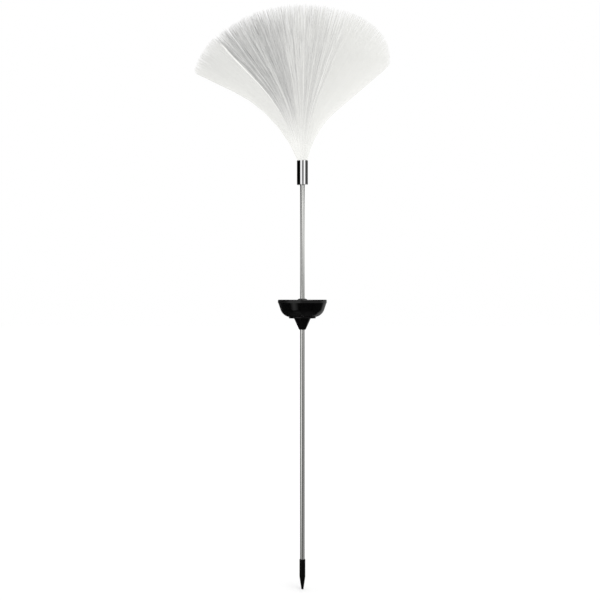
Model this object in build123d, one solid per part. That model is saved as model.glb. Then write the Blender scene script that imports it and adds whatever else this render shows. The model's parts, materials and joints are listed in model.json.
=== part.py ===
from build123d import *
import math
import os

# Solar fibre optic stake light. Sizes are in millimetres and angles in degrees.
# The origin is on the lamp's axis at ground level, which is the top of the spike, and +Z is up.
# The fibres rise above the stake, and the solar housing sits part way up it.

# Clearances
running_clearance = 0.05  # radial, where the lower tube turns in the spike and slides in the housing
fit_clearance = 0.05  # radial, where pieces are pushed together for good
loose_clearance = 0.3  # beside a moving piece that only has to clear its surroundings

# Stake tubes
tube_radius = 3.5
tube_wall = 0.5
lower_tube_length = 388.3
upper_tube_length = 198.3

# Ground spike
spike_wall = 0.85
spike_socket_depth = 20.0
spike_barrel_length = 26.0
spike_point_length = 19.0
spike_tip_radius = 1.6
spike_tip_round = 1.2
flute_count = 6
flute_radius = 0.6
flute_depth = 0.35

# Housing bowl, cone and hub
housing_socket_depth = 24.0
hub_web = 2.0
hub_wall = 2.05
hub_top_gap = 1.0
cone_height = 16.9
cone_top_radius = 12.6
cone_mouth_wall = 1.4
cone_mouth_round = 1.2
cone_wall = 2.2
base_ring_radius = 20.3
base_ring_height = 1.9
base_ring_round = 1.3
bowl_rim_radius = 36.2
bowl_depth = 23.1
bowl_corner_radius = 16.6
bowl_flare = 18.6
bowl_wall = 2.0

# Cover
cover_overhang = 0.55
cover_height = 5.0
cover_edge_round = 1.2
cover_band_width = 3.5
panel_recess_depth = 2.6
spigot_depth = 3.0
spigot_wall = 1.8
spigot_clearance = 0.15
collar_base_radius = 7.4
collar_height = 1.7
collar_fullness = 0.72
collar_lip = 0.6
collar_shoulder = 0.8

# Cover seal
seal_height = 1.2
seal_seat_width = 0.5

# Cover screws, which enter from below
screw_shank_radius = 1.25
screw_hole_clearance = 0.15
screw_head_radius = 2.25
screw_head_height = 1.4
screw_head_clearance = 0.25
screw_head_sink = 0.4
screw_engagement = 6.0
screw_drive_width = 0.5
screw_drive_length = 2.6
screw_drive_depth = 0.8
boss_radius = 2.8
boss_hole_spare = 2.0
boss_pad_height = 0.6
boss_pad_margin = 0.4

# Solar panel
panel_edge_gap = 0.2
panel_board_thickness = 1.0
solar_cell_thickness = 0.3
solar_cell_margin = 1.0
solar_cell_gap = 1.0
panel_window_thickness = 1.0
panel_lead_hole_radius = 2.4

# Circuit board and its components
board_length = 18.0
board_width = 10.0
board_thickness = 1.2
board_post_radius = 1.5
board_post_place = 7.0
board_pin_radius = 0.7
board_pin_rise = 0.8
chip_length = 4.0
chip_width = 3.0
chip_height = 1.4
inductor_radius = 1.3
inductor_length = 6.0
component_offset_x = 4.5
component_offset_y = 3.0

# Slide switch
switch_length = 8.5
switch_width = 3.6
switch_height = 3.5
switch_case_wall = 0.5
switch_floor_gap = 0.2
switch_travel = 2.0
knob_length = 2.0
knob_width = 1.6
knob_flange_length = 3.6
knob_flange_width = 2.2
knob_flange_height = 1.2
knob_groove_width = 0.3
knob_groove_pitch = 0.7
knob_sink = 0.4
switch_recess_length = 7.6
switch_recess_width = 4.4
switch_recess_depth = 1.0

# Rechargeable cell and its holder
cell_radius = 5.25
cell_length = 30.0
cell_nub_radius = 1.9
cell_nub_length = 1.0
cell_hub_gap = 1.2
cell_floor_gap = 1.2
contact_thickness = 0.4
contact_width = 7.0
contact_height = 10.0
contact_tab_rise = 6.0
spring_room = 2.0
spring_width = 5.0
spring_touch_gap = 0.15
spring_half_height = 3.5
holder_wall = 1.6
holder_wall_width = 8.0
holder_rib_place = 10.0
holder_rib_width = 9.0

# Ferrule, lamp holder and LED
ferrule_radius = 8.2
ferrule_length = 36.5
ferrule_wall = 0.6
ferrule_floor = 1.0
ferrule_edge_bevel = 0.4
holder_socket_depth = 6.0
holder_web = 3.0
holder_height = 18.4
lamp_lens_radius = 2.5
lamp_flange_radius = 2.9
lamp_flange_height = 1.0
lamp_height = 8.7
lamp_leg_width = 0.5
lamp_leg_length = 5.0
lamp_leg_place = 1.0
lamp_pocket_clearance = 0.1
lamp_leg_hole_radius = 0.7
reflector_radius = 5.8

# Fibre spray, which hangs lower on its left side, -X, than on its right side, +X
strand_count = 420
strand_width = 0.34
strand_length = 232.0
strand_root_margin = 0.3
left_spread_angle = 64.0
right_spread_angle = 48.0
front_spread_angle = 54.5
left_root_share = 0.34
right_root_share = 0.24
left_bend_share = 0.7
right_bend_share = 0.45
left_edge_trim = 21.0
right_edge_trim = 31.0
edge_trim_power = 5

# Insulated leads
lead_radius = 0.45
lead_sides = 8
lead_bend_share = 0.45
lamp_lead_rise = 5.0
lead_slot_clearance = 0.25
lead_slot_height = 7.3
panel_lead_place = 1.3
cell_lead_rise = 4.0
cell_lead_place = 6.0
lead_row_inset = 1.5

# Levels and radii that follow from the sizes above
tube_bore_radius = tube_radius - tube_wall
socket_radius = tube_radius + running_clearance
seat_radius = tube_radius + fit_clearance
spike_radius = socket_radius + spike_wall
housing_bottom = lower_tube_length - spike_socket_depth - housing_socket_depth
base_level = housing_bottom + cone_height
rim_level = base_level + bowl_depth
floor_level = base_level + base_ring_height + bowl_wall
lower_seat_level = housing_bottom + housing_socket_depth
upper_seat_level = lower_seat_level + hub_web
upper_tube_top = upper_seat_level + upper_tube_length
hub_radius = socket_radius + hub_wall
hub_top = rim_level - hub_top_gap
cone_mouth_radius = socket_radius + cone_mouth_wall
cone_angle = math.degrees(math.atan2(cone_top_radius - cone_mouth_radius, cone_height))
flare = math.radians(bowl_flare)
corner_level = base_level + base_ring_height + bowl_corner_radius
flare_foot_level = corner_level - bowl_corner_radius * math.sin(flare)
flare_run = (rim_level - flare_foot_level) * math.tan(flare)
corner_place = bowl_rim_radius - flare_run - bowl_corner_radius * math.cos(flare)
ring_place = (cone_top_radius + base_ring_radius) / 2
cover_radius = bowl_rim_radius + cover_overhang
cover_top = rim_level + cover_height
inner_rim_radius = bowl_rim_radius - bowl_wall / math.cos(flare)
spigot_taper = spigot_depth * math.tan(flare)
spigot_radius = inner_rim_radius - spigot_taper - spigot_clearance
seal_radius = inner_rim_radius + seal_seat_width
panel_level = cover_top - panel_recess_depth
panel_outer_radius = cover_radius - cover_band_width - panel_edge_gap
panel_inner_radius = collar_base_radius + collar_shoulder + panel_edge_gap
solar_cell_level = panel_level + panel_board_thickness
panel_window_level = solar_cell_level + solar_cell_thickness


def inside_level(place):
    """Height of the bowl's inner face at a distance from the axis."""
    radius = bowl_corner_radius - bowl_wall
    past_floor = max(place - corner_place, 0)
    return floor_level + radius - math.sqrt(radius**2 - past_floor**2)


boss_level = inside_level(ring_place + boss_radius + boss_pad_margin) + boss_pad_height
switch_corner_place = math.hypot(switch_length / 2, ring_place + switch_width / 2)
board_level = inside_level(switch_corner_place) + switch_floor_gap + switch_height
board_top = board_level + board_thickness
cell_place = -(hub_radius + cell_hub_gap + cell_radius)
cell_level = inside_level(math.hypot(cell_length / 2, cell_place)) + cell_floor_gap + cell_radius
contact_top = cell_level + contact_tab_rise
holder_bottom = upper_tube_top - holder_socket_depth
lamp_level = upper_tube_top + holder_web
holder_top = holder_bottom + holder_height
ferrule_bottom = holder_bottom - ferrule_floor
ferrule_top = ferrule_bottom + ferrule_length
ferrule_bore_radius = ferrule_radius - ferrule_wall
bundle_radius = ferrule_bore_radius - fit_clearance
lead_slot_half = lamp_leg_place + lead_radius + lead_slot_clearance
lead_row = ring_place - board_width / 2 + lead_row_inset
golden_angle = 180 * (3 - math.sqrt(5))
cut_margin = 1.0  # how far a cutting shape runs past the surface that it opens


def rod(radius, bottom, top, x=0.0, y=0.0):
    """An upright cylinder between two levels."""
    upright = (Align.CENTER, Align.CENTER, Align.MIN)
    return Pos(x, y, bottom) * Cylinder(radius, top - bottom, align=upright)


def lying_rod(radius, start, end, y, level):
    """A cylinder along X between two places."""
    lying = (Align.CENTER, Align.CENTER, Align.MIN)
    return Pos(start, y, level) * Rot(0, 90, 0) * Cylinder(radius, end - start, align=lying)


def block(length, width, bottom, top, x=0.0, y=0.0):
    """A box between two levels, centred on x and y."""
    upright = (Align.CENTER, Align.CENTER, Align.MIN)
    return Pos(x, y, bottom) * Box(length, width, top - bottom, align=upright)


def turned(edges):
    """A solid turned about the lamp's axis from a closed half section of radius and height."""
    return revolve(Plane.XZ * make_face(edges), axis=Axis.Z)


def turned_outline(points):
    """A solid turned from a half section with straight sides."""
    return turned(Polyline(*points, close=True).edges())


def bend_radii(points):
    """The largest bends that the runs between the points leave room for."""
    radii = []
    for before, corner, after in zip(points, points[1:], points[2:]):
        run_in = Vector(*corner) - Vector(*before)
        run_out = Vector(*after) - Vector(*corner)
        half_turn = math.radians(run_in.get_angle(run_out) / 2)
        radii.append(lead_bend_share * min(run_in.length, run_out.length) / math.tan(half_turn))
    return radii


def lead_section():
    """Cross-section of an insulated lead."""
    return RegularPolygon(lead_radius, lead_sides)


def lead(points):
    """An insulated lead along straight runs joined by tangent arcs."""
    path = FilletPolyline(*points, radius=bend_radii(points))
    return sweep(Plane(origin=path @ 0, z_dir=path % 0) * lead_section(), path=path)


def make_ground_spike():
    """Spike with a barrel that takes the tube and a blunt point with shallow flutes down its taper."""
    barrel = rod(spike_radius, -spike_barrel_length, 0)
    point_middle = -spike_barrel_length - spike_point_length / 2
    point = Pos(0, 0, point_middle) * Cone(spike_tip_radius, spike_radius, spike_point_length)
    point = fillet(point.edges().sort_by(Axis.Z)[0], spike_tip_round)
    spike = barrel + point - rod(socket_radius, -spike_socket_depth, cut_margin)
    flute_place = spike_radius + flute_radius - flute_depth
    taper = math.degrees(math.atan2(spike_radius - spike_tip_radius, spike_point_length))
    shoulder = Pos(flute_place, 0, -spike_barrel_length) * Rot(0, taper, 0)
    flute = shoulder * rod(flute_radius, -2 * spike_point_length, spike_barrel_length / 2)
    for index in range(flute_count):
        spike -= Rot(0, 0, index * 360 / flute_count) * flute
    return spike


def make_lower_tube():
    """Plain tube from the floor of the spike's socket to the top of the housing's socket."""
    bottom = -spike_socket_depth
    return rod(tube_radius, bottom, lower_seat_level) - rod(tube_bore_radius, bottom, lower_seat_level)


def bowl_solid(inset):
    """The bowl's solid form: a flat bottom, a round corner and a flared side, set in by inset."""
    radius = bowl_corner_radius - inset
    rim_radius = bowl_rim_radius - inset / math.cos(flare)
    corner = CenterArc((corner_place, corner_level), radius, -90, 90 - bowl_flare)
    outline = [
        Line((0, corner_level - radius), corner @ 0),
        corner,
        Line(corner @ 1, (rim_radius, rim_level)),
        Line((rim_radius, rim_level), (0, rim_level)),
        Line((0, rim_level), (0, corner_level - radius)),
    ]
    return turned(outline)


def base_ring():
    """Foot ring under the bowl, with a rounded lower edge."""
    ring = rod(base_ring_radius, base_level, base_level + base_ring_height)
    return fillet(ring.edges().sort_by(Axis.Z)[0], base_ring_round)


def make_cone():
    """Tapered foot of the housing round the lower tube, cored out above so that its wall is even."""
    middle = (housing_bottom + base_level) / 2
    cone = Pos(0, 0, middle) * Cone(cone_mouth_radius, cone_top_radius, cone_height)
    return fillet(cone.edges().sort_by(Axis.Z)[0], cone_mouth_round)


def cone_core():
    """The hollow between the hub and the cone's wall, open to the inside of the bowl."""
    slope = math.tan(math.radians(cone_angle))
    wall_across = cone_wall / math.cos(math.radians(cone_angle))
    core_bottom = housing_bottom + (hub_radius + wall_across - cone_mouth_radius) / slope
    core_radius = cone_top_radius - wall_across
    outline = [
        (hub_radius, core_bottom),
        (core_radius, base_level),
        (core_radius, floor_level + cut_margin),
        (hub_radius, floor_level + cut_margin),
    ]
    return turned_outline(outline)


def cell_holder():
    """End walls and saddle ribs that hold the rechargeable cell, moulded into the bowl."""
    wall_top = cell_level + cell_radius / 2
    plus_wall = cell_length / 2 + contact_thickness + holder_wall / 2
    minus_wall = -cell_length / 2 - spring_room - holder_wall / 2
    holder = block(holder_wall, holder_wall_width, base_level, wall_top, plus_wall, cell_place)
    holder += block(holder_wall, holder_wall_width, base_level, wall_top, minus_wall, cell_place)
    rib_top = cell_level - cell_radius / 2
    for side in (-1, 1):
        place = side * holder_rib_place
        holder += block(holder_wall, holder_rib_width, base_level, rib_top, place, cell_place)
    reach = cell_length / 2
    return holder - lying_rod(cell_radius, -reach, reach, cell_place, cell_level)


def board_posts():
    """Posts that carry the circuit board, each with a pin through it."""
    posts = []
    for side in (-1, 1):
        place = side * board_post_place
        foot_level = base_level + base_ring_height
        posts.append(rod(board_post_radius, foot_level, board_level, place, ring_place))
        posts.append(rod(board_pin_radius, board_level, board_top + board_pin_rise, place, ring_place))
    return posts


def knob_slot(bottom, top):
    """The opening that the switch's knob travels in."""
    length = knob_length + switch_travel + 2 * loose_clearance
    width = knob_width + 2 * loose_clearance
    return block(length, width, bottom, top, 0, ring_place)


def make_bowl_housing():
    """Moulded half bowl with its cone, hub, base ring, cell holder and board posts."""
    inside = rod(bowl_rim_radius, base_level, rim_level) & bowl_solid(bowl_wall)
    bowl = bowl_solid(0) + base_ring()
    fittings = cell_holder() & bowl
    bowl = bowl + make_cone() - inside - cone_core()
    bowl += rod(hub_radius, base_level, hub_top)
    bowl += fittings
    for post in board_posts():
        bowl += post
    for side in (-1, 1):
        bowl += rod(boss_radius + boss_pad_margin, base_level, boss_level, side * ring_place)
    bowl -= rod(socket_radius, housing_bottom - cut_margin, lower_seat_level)
    bowl -= rod(seat_radius, upper_seat_level, hub_top + cut_margin)
    slot_width = 2 * lead_slot_half
    slot_reach = 2 * hub_radius
    slot_bottom = upper_seat_level + hub_web
    bowl -= block(slot_width, slot_reach, slot_bottom, hub_top + cut_margin, 0, slot_reach / 2)
    bowl -= rod(seal_radius, rim_level - seal_height, rim_level + cut_margin)
    hole_radius = screw_shank_radius + screw_hole_clearance
    counterbore_radius = screw_head_radius + screw_head_clearance
    counterbore_top = base_level + screw_head_sink + screw_head_height
    below = base_level - cut_margin
    for side in (-1, 1):
        place = side * ring_place
        bowl -= rod(hole_radius, base_level, boss_level + cut_margin, place)
        bowl -= rod(counterbore_radius, below, counterbore_top, place)
    recess_top = base_level + switch_recess_depth
    bowl -= block(switch_recess_length, switch_recess_width, below, recess_top, 0, ring_place)
    bowl -= knob_slot(base_level, floor_level + cut_margin)
    return bowl


def collar():
    """Low dome round the foot of the upper tube."""
    crown_radius = seat_radius + collar_lip
    crown_level = cover_top + collar_height
    foot = (collar_base_radius, cover_top)
    shoulder = ((collar_base_radius + crown_radius) / 2, cover_top + collar_height * collar_fullness)
    crown = (crown_radius, crown_level)
    outline = [
        ThreePointArc(foot, shoulder, crown),
        Line(crown, (0, crown_level)),
        Line((0, crown_level), (0, cover_top)),
        Line((0, cover_top), foot),
    ]
    return turned(outline)


def make_top_cover():
    """Cover with a recess for the solar panel, a collar round the tube, a spigot and screw bosses."""
    disc = rod(cover_radius, rim_level, cover_top)
    disc = fillet(disc.edges().sort_by(Axis.Z)[-1], cover_edge_round)
    recess = rod(panel_outer_radius + panel_edge_gap, panel_level, cover_top + cut_margin)
    recess -= rod(panel_inner_radius - panel_edge_gap, panel_level, cover_top + cut_margin)
    cover = disc - recess
    cover += collar()
    spigot_bottom = rim_level - spigot_depth
    spigot_bore = rod(spigot_radius - spigot_wall, spigot_bottom, rim_level)
    cover += rod(spigot_radius, spigot_bottom, rim_level) - spigot_bore
    cover -= rod(seat_radius, rim_level - cut_margin, cover_top + collar_height + cut_margin)
    for side in (-1, 1):
        place = side * ring_place
        cover += rod(boss_radius, boss_level, rim_level, place)
        pilot_top = boss_level + screw_engagement + boss_hole_spare
        cover -= rod(screw_shank_radius, boss_level - cut_margin, pilot_top, place)
    cover -= rod(panel_lead_hole_radius, rim_level, panel_level + cut_margin, 0, ring_place)
    return cover


def make_cover_seal():
    """Flat ring in the step inside the bowl's rim."""
    bottom = rim_level - seal_height
    return rod(seal_radius, bottom, rim_level) - rod(spigot_radius, bottom, rim_level)


def make_panel_board():
    """Ring-shaped backing board of the solar panel."""
    top = solar_cell_level
    return rod(panel_outer_radius, panel_level, top) - rod(panel_inner_radius, panel_level, top)


def make_solar_cells():
    """Four cells, one to each quarter of the panel."""
    inner = Circle(panel_inner_radius + solar_cell_margin)
    cells = Circle(panel_outer_radius - solar_cell_margin) - inner
    cells -= Rectangle(2 * cover_radius, solar_cell_gap)
    cells -= Rectangle(solar_cell_gap, 2 * cover_radius)
    return extrude(Pos(0, 0, solar_cell_level) * cells, amount=solar_cell_thickness)


def make_panel_window():
    """Clear cover sheet over the solar cells."""
    bottom = panel_window_level
    top = bottom + panel_window_thickness
    return rod(panel_outer_radius, bottom, top) - rod(panel_inner_radius, bottom, top)


def make_circuit_board():
    """Board on two posts, with holes for their pins."""
    board = block(board_length, board_width, board_level, board_top, 0, ring_place)
    for side in (-1, 1):
        hole = board_pin_radius + fit_clearance
        board -= rod(hole, board_level, board_top, side * board_post_place, ring_place)
    return board


def make_driver_chip():
    """Charging and lamp driver chip on top of the board."""
    place = ring_place + component_offset_y
    return block(chip_length, chip_width, board_top, board_top + chip_height, -component_offset_x, place)


def make_inductor():
    """Small axial inductor lying on the board."""
    start = component_offset_x - inductor_length / 2
    level = board_top + inductor_radius
    return lying_rod(inductor_radius, start, start + inductor_length, ring_place + component_offset_y, level)


def make_switch_body():
    """Case of the slide switch, soldered under the board, with a slot for its knob."""
    bottom = board_level - switch_height
    case = block(switch_length, switch_width, bottom, board_level, 0, ring_place)
    cavity_length = knob_flange_length + switch_travel + 2 * loose_clearance
    cavity_width = knob_flange_width + loose_clearance
    cavity_bottom = bottom + switch_case_wall
    cavity_top = cavity_bottom + knob_flange_height + 2 * loose_clearance
    case -= block(cavity_length, cavity_width, cavity_bottom, cavity_top, 0, ring_place)
    return case - knob_slot(bottom, cavity_bottom)


def make_switch_knob():
    """Knob of the slide switch, reached through the housing's floor, with a grooved end."""
    flange_bottom = board_level - switch_height + switch_case_wall + loose_clearance
    knob_bottom = base_level + knob_sink
    place = -switch_travel / 2
    knob = block(knob_length, knob_width, knob_bottom, flange_bottom, place, ring_place)
    flange_top = flange_bottom + knob_flange_height
    knob += block(knob_flange_length, knob_flange_width, flange_bottom, flange_top, place, ring_place)
    for side in (-1, 1):
        groove_place = place + side * knob_groove_pitch / 2
        groove_top = knob_bottom + knob_groove_width
        knob -= block(knob_groove_width, knob_width, knob_bottom, groove_top, groove_place, ring_place)
    return knob


def make_battery_cell():
    """Rechargeable cell with its raised plus end towards +X."""
    end = cell_length / 2
    shoulder = end - cell_nub_length
    can = lying_rod(cell_radius, -end, shoulder, cell_place, cell_level)
    return can + lying_rod(cell_nub_radius, shoulder, end, cell_place, cell_level)


def make_battery_contacts():
    """Flat plus contact and sprung minus contact."""
    bottom = contact_top - contact_height
    plus_place = cell_length / 2 + contact_thickness / 2
    plus = block(contact_thickness, contact_width, bottom, contact_top, plus_place, cell_place)
    wall_place = -cell_length / 2 - spring_room
    minus_place = wall_place + contact_thickness / 2
    minus = block(contact_thickness, contact_width, bottom, contact_top, minus_place, cell_place)
    touch_place = -cell_length / 2 - spring_touch_gap - contact_thickness / 2
    leaf_points = [
        (minus_place, cell_level - spring_half_height),
        (touch_place, cell_level),
        (minus_place + contact_thickness, cell_level + spring_half_height),
    ]
    leaf_face = Plane.XZ.offset(-cell_place) * trace(Polyline(*leaf_points), contact_thickness)
    minus += extrude(leaf_face, amount=spring_width / 2, both=True)
    return [plus, minus]


def make_cover_screws():
    """Two screws that hold the cover to the bowl, with a cross recess in each head."""
    screws = []
    head_bottom = base_level + screw_head_sink
    head_top = head_bottom + screw_head_height
    for side in (-1, 1):
        place = side * ring_place
        screw = rod(screw_head_radius, head_bottom, head_top, place)
        screw += rod(screw_shank_radius, head_top, boss_level + screw_engagement, place)
        drive_top = head_bottom + screw_drive_depth
        screw -= block(screw_drive_length, screw_drive_width, head_bottom, drive_top, place)
        screw -= block(screw_drive_width, screw_drive_length, head_bottom, drive_top, place)
        screws.append(screw)
    return screws


def make_upper_tube():
    """Tube from the housing's hub to the lamp holder, notched at its foot where the leads enter."""
    tube = rod(tube_radius, upper_seat_level, upper_tube_top)
    tube -= rod(tube_bore_radius, upper_seat_level, upper_tube_top)
    notch_top = upper_seat_level + lead_slot_height
    return tube - block(2 * lead_slot_half, tube_radius, upper_seat_level, notch_top, 0, tube_radius)


def make_ferrule():
    """Plated cup that holds the lamp holder and the fibre bundle."""
    cup = rod(ferrule_radius, ferrule_bottom, ferrule_top)
    rims = cup.edges().filter_by(GeomType.CIRCLE)
    cup = chamfer(rims, ferrule_edge_bevel)
    cup -= rod(ferrule_bore_radius, holder_bottom, ferrule_top + cut_margin)
    return cup - rod(seat_radius, ferrule_bottom - cut_margin, holder_bottom)


def make_lamp_holder():
    """Moulded holder between tube and fibres: socket below, lamp pocket and reflector above."""
    holder = rod(bundle_radius, holder_bottom, holder_top)
    holder -= rod(seat_radius, holder_bottom, upper_tube_top)
    for side in (-1, 1):
        holder -= rod(lamp_leg_hole_radius, upper_tube_top, lamp_level, side * lamp_leg_place)
    pocket_radius = lamp_flange_radius + lamp_pocket_clearance
    flange_top = lamp_level + lamp_flange_height
    outline = [
        (0, lamp_level),
        (pocket_radius, lamp_level),
        (pocket_radius, flange_top),
        (reflector_radius, holder_top),
        (0, holder_top),
    ]
    return holder - turned_outline(outline)


def make_lamp():
    """Domed LED with its flange and two legs."""
    dome_level = lamp_level + lamp_height - lamp_lens_radius
    lamp = rod(lamp_flange_radius, lamp_level, lamp_level + lamp_flange_height)
    lamp += rod(lamp_lens_radius, lamp_level, dome_level)
    lamp += Pos(0, 0, dome_level) * Sphere(lamp_lens_radius)
    for side in (-1, 1):
        leg_bottom = lamp_level - lamp_leg_length
        lamp += block(lamp_leg_width, lamp_leg_width, leg_bottom, lamp_level, side * lamp_leg_place)
    return lamp


def make_fibre_bundle():
    """Potted and polished ends of the fibres, which fill the top of the ferrule."""
    return rod(bundle_radius, holder_top, ferrule_top)


def band_edge(radius, offset, root_angle, tip_angle, straight_length):
    """One long side of a strand: where it leaves the bundle, two points of its bend, and its tip."""
    side_radius = radius + offset
    start_angle = math.asin(radius * math.sin(root_angle) / side_radius)
    centre = Vector(radius * math.cos(root_angle), -radius * math.sin(root_angle))
    points = []
    for angle in (start_angle, (start_angle + tip_angle) / 2, tip_angle):
        points.append(centre + side_radius * Vector(-math.cos(angle), math.sin(angle)))
    tip = points[-1] + straight_length * Vector(math.sin(tip_angle), math.cos(tip_angle))
    return points + [tip]


def from_left(place_x, left, right):
    """A value that runs from the spray's left side, where place_x is -1, to its right side, where it is 1."""
    return left + (right - left) * (1 + place_x) / 2


def make_strand(index):
    """One fibre, which leans out of the bundle, bends in an arc and then runs straight to its tip."""
    share = math.sqrt((index + 0.5) / strand_count)
    azimuth = math.radians(index * golden_angle)
    place_x = share * math.cos(azimuth)
    place_y = share * math.sin(azimuth)
    lean_x = math.radians(place_x * from_left(place_x, left_spread_angle, right_spread_angle))
    lean_y = math.radians(place_y * front_spread_angle)
    tip_angle = math.hypot(lean_x, lean_y)
    heading = Vector(lean_x, lean_y) / tip_angle
    root_angle = tip_angle * from_left(place_x, left_root_share, right_root_share)
    edge_trim = from_left(place_x, left_edge_trim, right_edge_trim)
    length = strand_length - edge_trim * share**edge_trim_power
    bend_length = length * from_left(place_x, left_bend_share, right_bend_share)
    radius = bend_length / (tip_angle - root_angle)
    straight_length = length - bend_length
    inner = band_edge(radius, -strand_width / 2, root_angle, tip_angle, straight_length)
    outer = band_edge(radius, strand_width / 2, root_angle, tip_angle, straight_length)
    outline = [
        ThreePointArc(*inner[:3]),
        Line(inner[2], inner[3]),
        Line(inner[3], outer[3]),
        Line(outer[3], outer[2]),
        ThreePointArc(*outer[2::-1]),
        Line(outer[0], inner[0]),
    ]
    root_reach = bundle_radius - strand_root_margin
    root = Vector(root_reach * place_x, root_reach * place_y, ferrule_top)
    upright_plane = Plane(origin=root, x_dir=heading, z_dir=heading.cross(Vector(0, 0, 1)))
    return extrude(upright_plane * make_face(outline), amount=strand_width / 2, both=True)


def make_fibre_strands():
    """The whole spray, with the roots in a sunflower pattern over the bundle's end."""
    return [make_strand(index) for index in range(strand_count)]


def make_lamp_leads():
    """Two leads from the board through the hub and up the upper tube to the LED's legs."""
    leads = []
    for side in (-1, 1):
        place = side * lamp_leg_place
        turn_level = board_top + lamp_lead_rise
        points = [
            (place, lead_row, board_top),
            (place, lead_row, turn_level),
            (place, 0, turn_level),
            (place, 0, lamp_level - lamp_leg_length),
        ]
        leads.append(lead(points))
    return leads


def make_panel_leads():
    """Two stiff leads from the solar panel straight down to the middle of the board."""
    leads = []
    for side in (-1, 1):
        foot = Pos(side * panel_lead_place, ring_place, board_top)
        leads.append(extrude(foot * lead_section(), amount=panel_level - board_top))
    return leads


def make_battery_leads():
    """Two leads from the cell's contacts round the hub to the board."""
    leads = []
    plus_place = cell_length / 2 + contact_thickness / 2
    minus_place = -cell_length / 2 - spring_room + contact_thickness / 2
    run_level = contact_top + cell_lead_rise
    for side, start in ((1, plus_place), (-1, minus_place)):
        points = [
            (start, cell_place, contact_top),
            (start, cell_place, run_level),
            (side * cell_lead_place, lead_row, run_level),
            (side * cell_lead_place, lead_row, board_top),
        ]
        leads.append(lead(points))
    return leads


nodes = {
    "ground_spike": make_ground_spike,
    "lower_tube": make_lower_tube,
    "bowl_housing": make_bowl_housing,
    "top_cover": make_top_cover,
    "cover_seal": make_cover_seal,
    "panel_board": make_panel_board,
    "solar_cells": make_solar_cells,
    "panel_window": make_panel_window,
    "circuit_board": make_circuit_board,
    "driver_chip": make_driver_chip,
    "inductor": make_inductor,
    "switch_body": make_switch_body,
    "switch_knob": make_switch_knob,
    "battery_cell": make_battery_cell,
    "battery_contacts": make_battery_contacts,
    "cover_screws": make_cover_screws,
    "upper_tube": make_upper_tube,
    "ferrule": make_ferrule,
    "lamp_holder": make_lamp_holder,
    "lamp": make_lamp,
    "fibre_bundle": make_fibre_bundle,
    "fibre_strands": make_fibre_strands,
    "lamp_leads": make_lamp_leads,
    "panel_leads": make_panel_leads,
    "battery_leads": make_battery_leads,
}

os.makedirs("parts", exist_ok=True)
for name, make in nodes.items():
    made = make()
    pieces = made if isinstance(made, list) else [made]
    solids = [solid for piece in pieces for solid in piece.solids()]
    export_step(Compound(children=solids), f"parts/{name}.step")
    volume = sum(solid.volume for solid in solids)
    print(f"{name}: {len(solids)} solid(s), {volume:.2f} mm3")
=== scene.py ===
"""Looks of a solar fibre optic stake light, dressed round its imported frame."""

import json
import logging
import math
from dataclasses import dataclass
from enum import Enum

import bpy
import numpy as np
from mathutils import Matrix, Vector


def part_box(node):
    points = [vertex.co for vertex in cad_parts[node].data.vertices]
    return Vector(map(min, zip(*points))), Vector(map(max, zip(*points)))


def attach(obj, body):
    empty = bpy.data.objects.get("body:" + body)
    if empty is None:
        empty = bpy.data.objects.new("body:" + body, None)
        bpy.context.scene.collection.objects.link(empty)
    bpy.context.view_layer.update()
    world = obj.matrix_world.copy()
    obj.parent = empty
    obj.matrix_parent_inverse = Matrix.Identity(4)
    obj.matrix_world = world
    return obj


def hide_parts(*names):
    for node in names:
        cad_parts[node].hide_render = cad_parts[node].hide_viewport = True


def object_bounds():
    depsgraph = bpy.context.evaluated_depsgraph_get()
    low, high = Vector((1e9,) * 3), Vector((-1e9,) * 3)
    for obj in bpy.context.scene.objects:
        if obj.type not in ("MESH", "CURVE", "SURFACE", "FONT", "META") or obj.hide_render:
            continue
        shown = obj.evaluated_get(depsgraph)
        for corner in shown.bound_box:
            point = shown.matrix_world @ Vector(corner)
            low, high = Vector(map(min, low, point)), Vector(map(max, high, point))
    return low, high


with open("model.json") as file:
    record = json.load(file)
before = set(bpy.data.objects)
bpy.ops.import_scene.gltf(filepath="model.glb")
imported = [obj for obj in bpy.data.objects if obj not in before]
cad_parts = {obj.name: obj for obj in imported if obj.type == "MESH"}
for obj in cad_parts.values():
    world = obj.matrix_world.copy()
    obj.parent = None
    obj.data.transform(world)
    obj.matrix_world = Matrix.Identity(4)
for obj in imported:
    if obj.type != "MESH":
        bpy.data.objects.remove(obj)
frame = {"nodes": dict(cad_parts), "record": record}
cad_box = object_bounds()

log = logging.getLogger("stake_light")

Socket = bpy.types.NodeSocket
Colour = tuple[float, float, float]
Term = float | Colour | Socket
Span = tuple[float, float]
Bands = tuple[Span, ...]

MM = 0.001

# Blender's noise keeps mostly between these values.
NOISE_SPAN = (0.3, 0.7)


def grey(level: float) -> Colour:
    """Give a neutral colour."""
    return (level, level, level)


class Marks(Enum):
    """Way that fine marks run on a surface, as how far they stretch along X, Y and Z."""

    LENGTHWISE = (1.0, 1.0, 150.0)
    ROUND = (30.0, 30.0, 1.0)
    EVEN = (1.0, 1.0, 1.0)


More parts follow.
